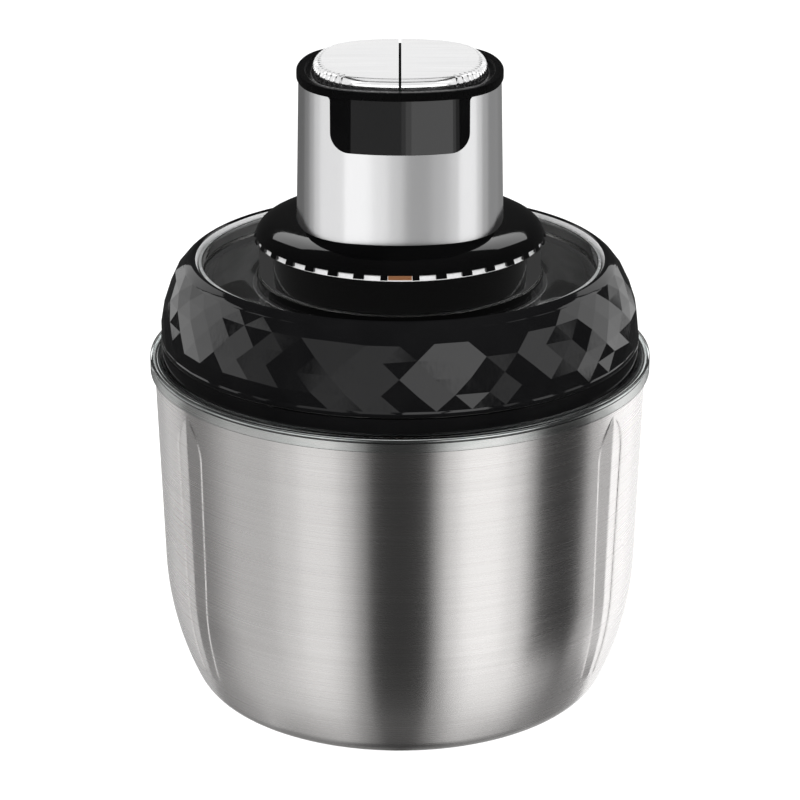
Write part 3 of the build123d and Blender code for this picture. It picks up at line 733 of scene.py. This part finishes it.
def make_collar(material):
    """Dome with diamond facets outside, a smooth crest with a turned-in lip, and a plain inner wall."""
    verts, faces = [], []
    wall = 2.2 * MM
    last_shift = 0.5 * ((len(facet_rings) - 1) % 2)
    low, high = faceted_side(verts, faces, 0.0, 0.5 * MM)
    inner_low, inner_high = faceted_side(verts, faces, wall, 0.0)
    foot = fine_ring(verts, *dome_point(3.0))
    edge = fine_ring(verts, *dome_point(0.4))
    under = fine_ring(verts, dome_point(0, 0.3 * MM)[0], dome_low[2])
    join_facets(faces, low, foot, 0.0)
    join_rings(faces, foot, edge)
    join_rings(faces, edge, under)
    inner_foot = fine_ring(verts, dome_point(0, wall)[0], dome_low[2])
    join_rings(faces, under, inner_foot)
    join_facets(faces, inner_low, inner_foot, 0.0)
    crest = [fine_ring(verts, *dome_point(a)) for a in (crest_start, 67.0, 70.0, 73.0, crest_end)]
    join_facets(faces, high, crest[0], last_shift)
    top_z = dome_point(crest_end)[1]
    lip = [(81.7, -0.25), (81.1, -0.7), (80.7, -1.3), (80.3, -2.2), (80.2, -3.0), (80.2, -3.7)]
    crest += [fine_ring(verts, r * MM, top_z + drop * MM) for r, drop in lip]
    for a, b in zip(crest, crest[1:]):
        join_rings(faces, a, b)
    inner_crest = fine_ring(verts, *dome_point(crest_start, wall))
    join_facets(faces, inner_high, inner_crest, last_shift)
    inner_top = fine_ring(verts, *dome_point(crest_end, wall))
    join_rings(faces, inner_crest, inner_top)
    join_rings(faces, inner_top, crest[-1])
    collar = new_object("diamond_collar", verts, faces, 60)
    margin = 0.5 * MM
    z_low, z_high = dome_point(facet_rings[0])[1] - margin, dome_point(facet_rings[-1])[1] + margin
    finish_piece(collar, "lid", ["faceted_collar"], material)
    for face in collar.data.polygons:
        if z_low < face.center[2] < z_high and len(face.vertices) == 3:
            face.use_smooth = False
    paint_inside_reflection(collar, dome_point(72)[1])
    return collar


def make_band(material):
    """Plain band below the dome. It steps back at its top, which leaves the parting groove."""
    r, low, shelf, top = band_high[0], band_low[2], 148.0 * MM, band_high[2]
    groove_r, neck_r, inner_r, step = r - 0.9 * MM, r - 2.5 * MM, r - 3.5 * MM, 0.1 * MM
    outline = [(neck_r, low), (r, low), (r, shelf), (groove_r, shelf), (groove_r, shelf + step)]
    outline += [(neck_r, shelf + step), (neck_r, top), (inner_r, top), (inner_r, low)]
    band = lathe("collar_band_ring", rounded(outline, 0.25 * MM), 288)
    finish_piece(band, "lid", ["collar_band"], material)
    paint_inside_reflection(band, band_high[2])
    return band


# Head

def make_case(material):
    """Black cylinder round the gears, with a brim under the skirt and a boss for the output."""
    low, top = case_low[2], case_high[2]
    r, brim_r, brim_z, wall = 53.3 * MM, 54.9 * MM, 191.5 * MM, 2.4 * MM
    hole_r, boss_r, boss_top, floor = 10.5 * MM, 14 * MM, low + 5.2 * MM, low + 2.5 * MM
    outline = [
        (hole_r, low), (r, low, 1.5 * MM), (r, brim_z), (brim_r, brim_z), (brim_r, top),
        (r - wall, top), (r - wall, floor, 1 * MM), (boss_r, floor), (boss_r, boss_top), (hole_r, boss_top),
    ]
    case = lathe("spigot_case", rounded(outline, 0.3 * MM), 256)
    return finish_piece(case, "head", ["gearbox_case"], material)


def vent_cutter(count, half, front_half, low, top):
    """One block for each slot in the skirt's edge; the one at the front is wider."""
    verts, faces = [], []
    for i in range(count):
        reach = front_half if i == 0 else half
        turn = -math.pi / 2 + i * (2 * math.pi / count)
        ahead = Vector((math.cos(turn), math.sin(turn), 0))
        aside = Vector((-math.sin(turn), math.cos(turn), 0))
        first = len(verts)
        for depth in (54 * MM, 62 * MM):
            for u in (-reach, reach):
                for z in (low, top):
                    verts.append(tuple(ahead * depth + aside * u + Vector((0, 0, z))))
        for quad in ((0, 1, 3, 2), (4, 6, 7, 5), (0, 4, 5, 1), (2, 3, 7, 6), (0, 2, 6, 4), (1, 5, 7, 3)):
            faces.append(tuple(first + q for q in quad))
    return new_object("vent_cutter", verts, faces)


def make_skirt(material):
    """Bell under the sleeve, with its castellated edge."""
    edge_r, edge_z, top_z = skirt_high[0], skirt_low[2], skirt_high[2]
    wall, roof, chamfer = 1.2 * MM, 0.9 * MM, 0.15 * MM
    bell = [(38.3, 0.0), (41.5, -0.05), (44.5, -0.15), (47.5, -0.45), (50.0, -0.95), (52.2, -1.7)]
    bell += [(54.1, -2.75), (55.6, -4.1), (56.7, -5.8), (57.4, -7.3)]
    outline = [(r * MM, top_z + drop * MM) for r, drop in bell]
    outline += [(edge_r, edge_z + chamfer), (edge_r - chamfer, edge_z), (edge_r - wall, edge_z)]
    outline += [(r * MM - wall, top_z + drop * MM - roof) for r, drop in reversed(bell[4:-1])]
    outline += [(bell[0][0] * MM, top_z - 1.3 * MM)]
    skirt = lathe("vent_bell", outline, 408, sharp_angle=40)
    cutter = vent_cutter(34, 3.2 * MM, 4.7 * MM, edge_z - 2 * MM, edge_z + 1.8 * MM)
    boolean(skirt, cutter, sharp_angle=28)
    return finish_piece(skirt, "head", ["vent_skirt"], material)


def sleeve_half(z):
    """Half-width of the tapered sleeve at a height."""
    foot_half, brim_half = sleeve_high[0], 39.5 * MM
    t = (z - sleeve_low[2]) / (sleeve_high[2] - sleeve_low[2])
    return foot_half + (brim_half - foot_half) * t


def window_outline(grow, flare=0.0):
    """The notch as seen from the front, open upwards. A flare turns its two top corners outwards."""
    half = window_high[0] + 0.1 * MM + grow
    low = window_low[2] - 0.1 * MM - grow
    brim, top = sleeve_high[2], sleeve_high[2] + 20 * MM
    r = 7.0 * MM + grow
    outline = arc((half - r, low + r), r, -90, 0, 10)
    if flare:
        outline += arc((half + flare, brim - flare), flare, 180, 90, 6)
        outline += [(half + 4 * MM, brim), (half + 4 * MM, top)]
    else:
        outline += [(half, top)]
    return outline + [(-u, v) for u, v in reversed(outline)]


def front_prism(name, outline):
    return prism(name, outline, 20 * MM, 60 * MM, lambda u, v, d: (u, -d, v))


def make_sleeve(material):
    """Tapered steel tube with the notch at its front and the gland's hole at its back."""
    wall = 1.0 * MM
    low, top = sleeve_low[2], sleeve_high[2]
    outline = rounded([(0, low), (0, top), (wall, top), (wall, low)], 0.25 * MM)
    sleeve = squircle_ring("head_sleeve", outline, sleeve_half, 320)
    boolean(sleeve, front_prism("notch_cutter", window_outline(0, 1.6 * MM)))
    gland_r = 5.2 * MM
    centre_z = (gland_low[2] + gland_high[2]) / 2
    hole = arc((0, centre_z), gland_r, 0, 360, 40)[:-1]
    boolean(sleeve, prism("gland_cutter", hole, 30 * MM, 50 * MM, lambda u, v, d: (u, d, v)))
    return finish_piece(sleeve, "head", ["steel_sleeve"], material)


def make_window(material):
    """Black pane that fills the notch, a little behind the sleeve's surface."""
    low, top = window_low[2] - 4 * MM, sleeve_high[2] - 0.05 * MM
    front, back = 0.2 * MM, 1.0 * MM
    outline = [(front, low), (front, top), (back, top), (back, low)]
    panel = squircle_ring("window_pane", outline, sleeve_half, 320)
    boolean(panel, front_prism("pane_cutter", window_outline(-0.08 * MM)), "INTERSECT")
    return finish_piece(panel, "head", ["window_panel"], material)


def make_bezel(material):
    """Black frame on top of the sleeve, stepped down towards the key tops."""
    low, top, foot = 255.0 * MM, bezel_high[2], bezel_low[2]
    outer = bezel_high[0]
    opening = outer - (cap_high[0] + 0.5 * MM)
    brim, skirt_inset, step_z = 3.4 * MM, 4.4 * MM, top - 1.3 * MM
    outline = [
        (0, low), (0, top, 0.7 * MM), (brim, top, 0.4 * MM), (brim, step_z, 0.3 * MM),
        (opening, step_z, 0.4 * MM), (opening, foot), (skirt_inset, foot), (skirt_inset, low),
    ]
    bezel = squircle_ring("top_bezel", rounded(outline, 0.25 * MM), lambda z: outer, 256)
    return finish_piece(bezel, "head", ["bezel"], material)


groove_pitch = 3.0 * MM
groove_first = math.radians(33)
groove_half = 0.62 * MM
groove_depth = 1.15 * MM
groove_section = ((-1.0, 0.0), (-0.55, 0.45), (-0.2, 0.95), (0.2, 0.95), (0.55, 0.45), (1.0, 0.0))


def groove_marks(shape):
    """Directions of the grooves between the ribs: even steps along both sides, none at the front and back."""
    steps = 1440
    marks = []
    previous, travelled, last = shape.point(0), 0.0, None
    for i in range(1, steps + 1):
        facing = 2 * math.pi * i / steps
        here = shape.point(facing)
        travelled += math.dist(previous, here)
        previous = here
        from_front = abs((facing + math.pi / 2 + math.pi) % (2 * math.pi) - math.pi)
        at_side = groove_first <= from_front <= math.pi - groove_first
        if at_side and (last is None or travelled - last >= groove_pitch):
            last = travelled
            marks.append(facing)
    return marks


def cap_columns(shape):
    """Round the soft square as (direction, share of the groove's depth), tightly spaced at each groove."""
    columns = [(turn, 0.0) for turn in even_turns(200)]
    for facing in groove_marks(shape):
        on_corner = abs(facing % (math.pi / 2) - math.pi / 4) < math.pi / 4 - shape.join
        step = groove_half / (shape.corner_r if on_corner else shape.side_r)
        columns = [c for c in columns if abs(c[0] - facing) > 1.25 * step]
        columns += [(facing + u * step, share) for u, share in groove_section]
    return sorted(columns)


def cap_rows(half):
    """From a key top's middle over the shoulder and back inside, as (inset, height, share of the grooves)."""
    top, low = cap_high[2], cap_low[2]
    shoulder, wall, plate, steps = 3.2 * MM, 1.0 * MM, 1.0 * MM, 8
    rows = [(share * half, top, 0.0) for share in (0.97, 0.8, 0.6, 0.4, 0.25)]
    rows += [(shoulder + 1.2 * MM, top - 0.02 * MM, 0.0), (shoulder, top - 0.06 * MM, 0.5)]
    for k in range(1, steps + 1):
        angle = math.radians(90 * k / steps)
        inset, drop = shoulder * (1 - math.sin(angle)), shoulder * (1 - math.cos(angle))
        rows.append((inset, top - drop, min(1.0, 0.5 + k / 5)))
    rows += [(0.0, low + 0.3 * MM, 1.0), (0.2 * MM, low, 1.0), (wall, low, 0.0)]
    rows += [(wall, top - 4 * MM, 0.0), (2.0 * MM, top - 2.0 * MM, 0.0), (4 * MM, top - 1.1 * MM, 0.0)]
    return rows + [(share * half, top - plate, 0.0) for share in (0.5, 0.97)]


def keep_side(piece, side, gap):
    """Cuts a piece by an upright plane beside the middle, keeps one side and closes the cut."""
    bm = bmesh.new()
    bm.from_mesh(piece.data)
    everything = bm.verts[:] + bm.edges[:] + bm.faces[:]
    plane = {"plane_co": (side * gap, 0, 0), "plane_no": (-side, 0, 0)}
    bmesh.ops.bisect_plane(bm, geom=everything, clear_outer=True, **plane)
    bmesh.ops.holes_fill(bm, edges=[e for e in bm.edges if e.is_boundary])
    bmesh.ops.recalc_face_normals(bm, faces=bm.faces)
    set_mesh(piece, bm, 40)


def make_cap(side, material):
    """One half of the press button: flat top, round shoulder, ribbed sides."""
    half = cap_high[0]
    shape = Squircle(half)
    columns, rows = cap_columns(shape), cap_rows(half)
    verts = []
    for inset, z, grooved in rows:
        for facing, share in columns:
            if inset >= 0.25 * half:
                x, y = (value * max(0.0, 1 - inset / half) for value in shape.point(facing))
            else:
                x, y = shape.point(facing, inset + groove_depth * share * grooved)
            verts.append((x, y, z))
    count = len(columns)
    faces = grid_faces(len(rows), count)
    faces += [tuple(range(count)), tuple(range(len(verts) - count, len(verts)))]
    word = "left" if side < 0 else "right"
    cap = new_object(f"{word}_key_top", verts, faces, 40)
    keep_side(cap, side, 0.5 * MM)
    return finish_piece(cap, f"{word}_button", [f"{word}_cap"], material)


# Studio

view_elevation = 20.5
focal_mm, sensor_mm = 135.0, 36.0
camera_distance = 1.212
aim_z = 0.1204


def set_camera():
    data = bpy.data.cameras.new("camera")
    data.lens = focal_mm
    data.sensor_width = sensor_mm
    data.clip_end = 100
    camera = add_object("camera", data)
    tilt = math.radians(view_elevation)
    camera.location = (0, -camera_distance * math.cos(tilt), aim_z + camera_distance * math.sin(tilt))
    camera.rotation_euler = (math.pi / 2 - tilt, 0, 0)
    bpy.context.scene.camera = camera


def make_floor():
    half = 30
    corners = [(-half, -half, 0), (half, -half, 0), (half, half, 0), (-half, half, 0)]
    floor = new_object("floor", corners, [(0, 1, 2, 3)])
    paper = Shader("floor_paper", even(0.93), 0.0, 0.9)
    fibre = paper.noise(even(400), detail=3)
    paper.vary_color(fibre, even(0.92), even(0.94))
    floor.data.materials.append(paper.material)
    floor.visible_glossy = False
    return floor


def set_world():
    """A dim, even studio; the soft boxes below do the rest."""
    world = bpy.data.worlds.new("studio")
    bpy.context.scene.world = world
    world.use_nodes = True
    set_inputs(world.node_tree.nodes["Background"], {"Color": (1, 1, 1, 1), "Strength": 0.04})


# What each bright piece mirrors: (azimuth in degrees from the front, brightness from there to the next)
bowl_cards = [
    (-178, 0.5), (-144, 0.7), (-119, 0), (-117, 0.2), (-104, 0.3), (-96, 0.46), (-88, 0.62),
    (-60, 0.8), (-48, 1.04), (-28, 0.74), (-21, 0.36), (-15, 0), (15, 0.42), (20, 0.95), (28, 1.32),
    (50, 1), (60, 0.5), (66, 0), (97, 0.6), (112, 1.36), (142, 1.1), (178, 0),
]
belly_cards = [
    (-178, 0.24), (-130, 0.36), (-108, 0.56), (-90, 0.7), (-70, 0.84), (-56, 1), (-36, 0.8),
    (-26, 0.36), (-17, 0), (17, 0.4), (26, 0.88), (36, 1.16), (66, 0.9), (80, 0.5), (94, 0.2),
    (140, 0.4), (178, 0),
]
foot_cards = [
    (-178, 0.18), (-108, 0.3), (-86, 0.46), (-66, 0.6), (-38, 0.32), (-20, 0.1), (20, 0.34),
    (38, 0.68), (70, 0.48), (90, 0.28), (112, 0.16), (178, 0),
]
sleeve_cards = [
    (-178, 0.1), (-140, 0.2), (-120, 0.4), (-106, 0.7), (-92, 0.94), (-44, 1.2), (-20, 0.96),
    (-8, 0.7), (3, 0.38), (22, 0.52), (34, 0.74), (50, 1.06), (84, 0.72), (96, 0.42), (112, 0.26),
    (150, 0.2), (178, 0),
]
window_cards = [(-35, 0.42), (1, 0.7), (4, 1.2), (8, 1.7), (40, 0.9), (45, 0.35), (51, 0)]
collar_cards = [
    (-154, 0.8), (-130, 0), (-127, 1.25), (-98, 0), (-90, 0.9), (-77, 0), (-70, 0.4), (-61, 0),
    (-46, 0.5), (-24, 0), (-21, 0.62), (-4, 0), (2, 1.35), (20, 0), (22, 1.75), (40, 0), (47, 0.55),
    (54, 0), (62, 1), (73, 0), (80, 0.6), (91, 0), (98, 1.3), (127, 0), (130, 0.9), (154, 0),
]
card_distance = 2.0
groups = {}


def group(pieces):
    """The collection that holds exactly these pieces, made once."""
    key = "lit_" + "_".join(piece.name for piece in pieces)
    if key not in groups:
        groups[key] = bpy.data.collections.new(key)
        for piece in pieces:
            groups[key].objects.link(piece)
    return groups[key]


def area_light(name, place, aim, size, energy):
    """A rectangle of light that the camera does not see, itself or through glass."""
    light = add_object(name, bpy.data.lights.new(name, "AREA"))
    light.data.shape = "RECTANGLE"
    light.data.size, light.data.size_y = size
    light.data.energy = energy
    light.location = place
    light.rotation_euler = (Vector(aim) - Vector(place)).to_track_quat("-Z", "Y").to_euler()
    light.visible_camera = False
    light.visible_transmission = False
    return light


def card(name, azimuth, elevation, size, brightness, receivers, aim, through=False):
    """A soft box in a direction, given in degrees, that faces the aim and that only the receivers see.
    They alone can block it or, if it shines through, nothing can."""
    turn, rise = math.radians(azimuth), math.radians(elevation)
    flat, up = card_distance * math.cos(rise), card_distance * math.sin(rise)
    place = Vector(aim) + Vector((flat * math.sin(turn), -flat * math.cos(turn), up))
    light = area_light(name, place, aim, size, brightness * math.pi * size[0] * size[1])
    light.light_linking.receiver_collection = group(receivers)
    light.light_linking.blocker_collection = group([] if through else receivers)
    return light


def upright_cards(name, bands, low_z, high_z, receivers, through=False):
    """Tall strips round the piece, one for each band of azimuth that has a brightness."""
    lit = [(here[0], after[0], here[1]) for here, after in zip(bands, bands[1:]) if here[1]]
    aim = (0, 0, (low_z + high_z) / 2)
    for i, (first, last, brightness) in enumerate(lit):
        size = (2 * card_distance * math.tan(math.radians(last - first) / 2), high_z - low_z)
        card(f"{name}_{i}", (first + last) / 2, 0, size, brightness, receivers, aim, through)


def floor_wash(floor):
    """Brings the paper floor up to near white without touching the part."""
    light = add_object("floor_wash", bpy.data.lights.new("floor_wash", "SUN"))
    light.data.energy = 3.1
    light.light_linking.receiver_collection = group([floor])
    light.light_linking.blocker_collection = group([floor])


def set_lights(bowl, liner, collar, band, sleeve, window, skirt, caps, bead, floor):
    contact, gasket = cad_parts["interlock_contact"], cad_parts["lid_gasket"]
    upright_cards("bowl_card", bowl_cards, -1.5, 0.15, [bowl])
    upright_cards("liner_card", bowl_cards, -1.5, 0.6, [liner], True)
    upright_cards("belly_card", belly_cards, -3.1, -1.5, [bowl])
    upright_cards("foot_card", foot_cards, -8.0, -3.1, [bowl])
    upright_cards("sleeve_card", sleeve_cards, -2.5, 0.4, [sleeve])
    upright_cards("window_card", window_cards, -2.5, 0.4, [window])
    upright_cards("collar_card", collar_cards, -0.25, 1.65, [collar])
    head, key_tops = (0, 0, 0.2), (0, 0, 0.26)
    for side in (-1, 1):
        card(f"skirt_card_{side}", side * 158, 37, (1.1, 0.78), 1.6, [skirt], head)
    for turn in (0, 90, 180, 270):
        card(f"cap_card_{turn}", turn, 24, (3.8, 2.6), 0.93, caps, key_tops)
    card("cap_top_card", 0, 90, (1.6, 1.6), 0.9, caps, key_tops)
    card("cap_front_card", 0, -24, (4.6, 2.9), 0.95, caps, key_tops)
    card("bead_card", 0, 10, (4.0, 2.5), 1.5, [bead], head)
    card("contact_card", 0, 10, (4.0, 2.5), 0.6, [contact], head)
    card("liner_top_card", 0, 90, (2.5, 2.5), 0.9, [liner], (0, 0, 0.14), True)
    fill = card("collar_fill", 0, 55, (2.0, 2.0), 6.0, [collar, band, gasket], (0, 0, 0.16), True)
    left = area_light("top_left", (-0.9, -0.4, 1.6), (0, 0, 0.1), (0.8, 0.8), 14)
    right = area_light("top_right", (0.9, -0.4, 1.6), (0, 0, 0.1), (0.8, 0.8), 14)
    for light in (fill, left, right):
        light.visible_glossy = False
    floor_wash(floor)


# Making

set_camera()
black = gloss_black("collar_black")
head_black = gloss_black("head_black")
window_black = gloss_black("window_black", 0.03, 0.008)
zinc = turned_metal("zinc_plate", (0.55, 0.56, 0.58), (0.72, 0.73, 0.75), 0.35)
ground_steel = turned_metal("ground_steel", (0.60, 0.60, 0.61), (0.76, 0.76, 0.77), 0.22)
bronze = turned_metal("bearing_bronze", (0.52, 0.36, 0.14), (0.70, 0.50, 0.22), 0.36)
cast_aluminium = cast_metal("cast_aluminium", (0.56, 0.56, 0.57), (0.74, 0.74, 0.75))
moulded_black = matte_plastic("moulded_black", (0.015, 0.015, 0.016), (0.035, 0.035, 0.037))
white_plastic = matte_plastic("white_acetal", (0.78, 0.77, 0.73), (0.88, 0.87, 0.83), 0.35)
dasher_white = matte_plastic("dasher_white", (0.82, 0.82, 0.80), (0.90, 0.90, 0.88), 0.32)
red_plastic = matte_plastic("plunger_red", (0.55, 0.05, 0.03), (0.70, 0.08, 0.05), 0.35)
dark_rubber = soft_rubber("dark_rubber", even(0.012), even(0.030))
gasket_rubber = soft_rubber("gasket_silicone", (0.03, 0.03, 0.032), (0.06, 0.06, 0.062))
pale_silicone = soft_rubber("pale_silicone", (0.66, 0.70, 0.72), (0.78, 0.81, 0.83))

bowl = make_bowl_shell(brushed_bowl_steel())
liner = make_liner(liner_steel())
lid = make_lid([clear_plastic(), clear_edge(), rim_glass()])
# the bead's white is a painted glow of the clear neck's edge
bead = make_neck_edge(milky_bead())
# grey of painted reflection for the inner walls of the black collar and band
reflection_grey = collar_lining()
collar = make_collar([black, reflection_grey])
band = make_band([black, reflection_grey])
make_case(head_black)
skirt = make_skirt(head_black)
sleeve = make_sleeve(sleeve_steel())
for piece in (sleeve, skirt, collar, lid, band):
    piece.visible_glossy = False
window = make_window(window_black)
make_bezel(gloss_black("bezel_black", 0.3, 0.05))
chrome = cap_chrome()
caps = [make_cap(side, chrome) for side in (-1, 1)]

laminations = laminated_iron()
carried_over = {
    "coolant_charge": coolant_gel(), "foot_ring": dark_rubber, "filler_plug": dark_rubber,
    "pivot_pin": ground_steel, "lid_gasket": pale_silicone, "shaft_seal": gasket_rubber,
    "interlock_contact": copper_leaf(), "gear_deck": cast_aluminium, "chassis": moulded_black,
    "cord_gland": dark_rubber, "stator_core": laminations, "field_windings": wound_copper("field_copper"),
    "upper_bracket": cast_aluminium, "brush_holders": bronze, "carbon_brushes": moulded_black,
    "idler_pins": ground_steel, "switch_board": circuit_board(), "motor_shaft": ground_steel,
    "rotor_core": laminations, "rotor_windings": wound_copper("rotor_copper"), "commutator": copper_leaf(),
    "cooling_fan": white_plastic, "motor_pinion": ground_steel, "output_gear": white_plastic,
    "output_spindle": ground_steel, "drive_coupling": moulded_black, "dasher_shaft": ground_steel,
    "dasher_frame": dasher_white, "scraper_blades": pale_silicone,
}
carried_over |= {f"{place}_bearing": bronze for place in ("upper", "lower", "output")}
carried_over |= {f"{part}_screws": zinc for part in ("deck", "bracket")}
both_sides = {
    "switch": moulded_black, "spring": ground_steel, "slider": moulded_black, "plunger": red_plastic,
    "idler_wheel": white_plastic, "idler_pinion": ground_steel,
}
for side in ("left", "right"):
    carried_over |= {f"{side}_{part}": material for part, material in both_sides.items()}
for node, material in carried_over.items():
    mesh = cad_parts[node].data
    mesh.materials.clear()
    mesh.materials.append(material)

floor = make_floor()
set_world()
set_lights(bowl, liner, collar, band, sleeve, window, skirt, caps, bead, floor)
bpy.context.scene.view_settings.view_transform = "Standard"
